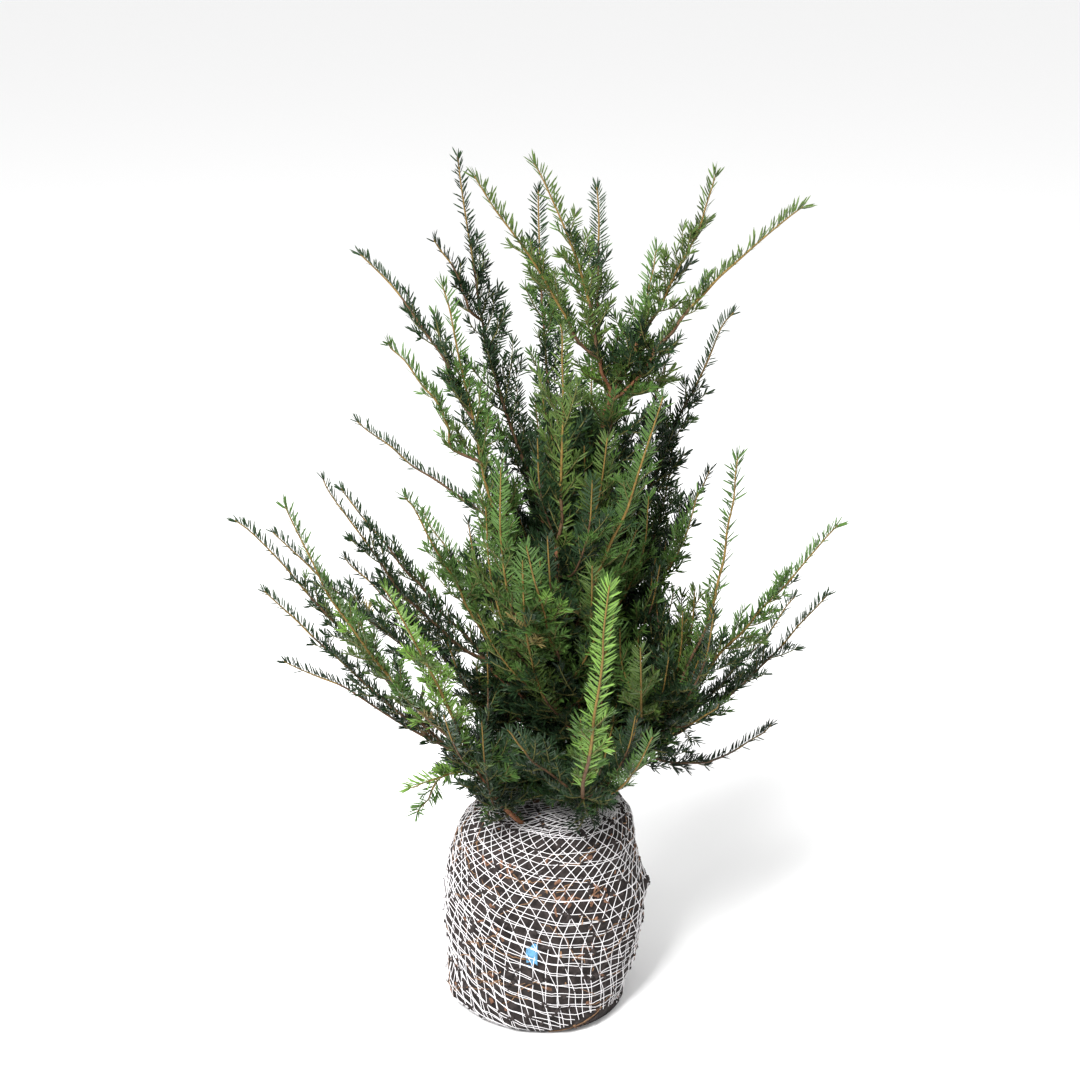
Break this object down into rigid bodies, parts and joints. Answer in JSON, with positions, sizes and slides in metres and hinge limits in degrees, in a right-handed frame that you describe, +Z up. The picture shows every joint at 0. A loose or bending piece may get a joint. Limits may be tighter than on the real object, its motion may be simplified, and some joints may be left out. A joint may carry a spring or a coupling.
{
  "type": "yew sapling with netted root ball",
  "caption": "Upright evergreen sapling with long feathery shoots, standing on a rounded, netted ball of soil.",
  "frame": {"origin": "middle of the root ball's flat underside", "axes": "+Z up along the plant's height, +X to its right and +Y to its back as seen from the front"},
  "size_m": [0.6777, 0.5079, 1.0127],
  "materials": {
    "soil": "matte dark earth under a white knitted net",
    "bark": "flaky reddish brown bark",
    "needles": "soft satin green needles"
  },
  "bodies": {
    "root": {"root_ball": "soil", "trunk": "bark", "bough_front_left": "bark", "bough_left_low": "bark", "bough_left_back": "bark", "bough_left_mid": "bark", "bough_leader_left": "bark", "bough_leader_back": "bark", "bough_leader_middle": "bark", "bough_fork_left": "bark", "bough_fork_right": "bark", "bough_fork_right_low": "bark", "bough_right_front": "bark", "bough_right_mid": "bark", "bough_right_low": "bark", "bough_right_back": "bark", "bough_front": "bark", "bough_back": "bark", "foliage_fork_middle": "needles", "foliage_fork_left": "needles", "foliage_fork_right": "needles", "foliage_fork_right_low": "needles", "foliage_fork_back": "needles", "foliage_fork_back_right": "needles", "foliage_leader_left": "needles", "foliage_leader_left_outer": "needles", "foliage_leader_left_side": "needles", "foliage_leader_back": "needles", "foliage_leader_back_side": "needles", "foliage_back_middle": "needles", "foliage_leader_middle": "needles", "foliage_front_left_long": "needles", "foliage_front_left_short": "needles", "foliage_left_low_tall": "needles", "foliage_left_low_middle": "needles", "foliage_left_low_under": "needles", "foliage_left_back_outer": "needles", "foliage_left_back_inner": "needles", "foliage_left_mid_front": "needles", "foliage_left_mid_back": "needles", "foliage_left_inner": "needles", "foliage_left_high": "needles", "foliage_low_left_spray": "needles", "foliage_low_left_droop": "needles", "foliage_right_front": "needles", "foliage_front_right_high": "needles", "foliage_right_mid_long": "needles", "foliage_right_front_low": "needles", "foliage_right_low_long": "needles", "foliage_right_low_back": "needles", "foliage_right_droop": "needles", "foliage_right_back_high": "needles", "foliage_right_inner": "needles", "foliage_right_back_mid": "needles", "foliage_front_centre": "needles", "foliage_front_low": "needles", "foliage_front_inner": "needles", "foliage_back_mid": "needles", "foliage_back_low_left": "needles", "foliage_back_low_right": "needles"}
  },
  "joints": []
}
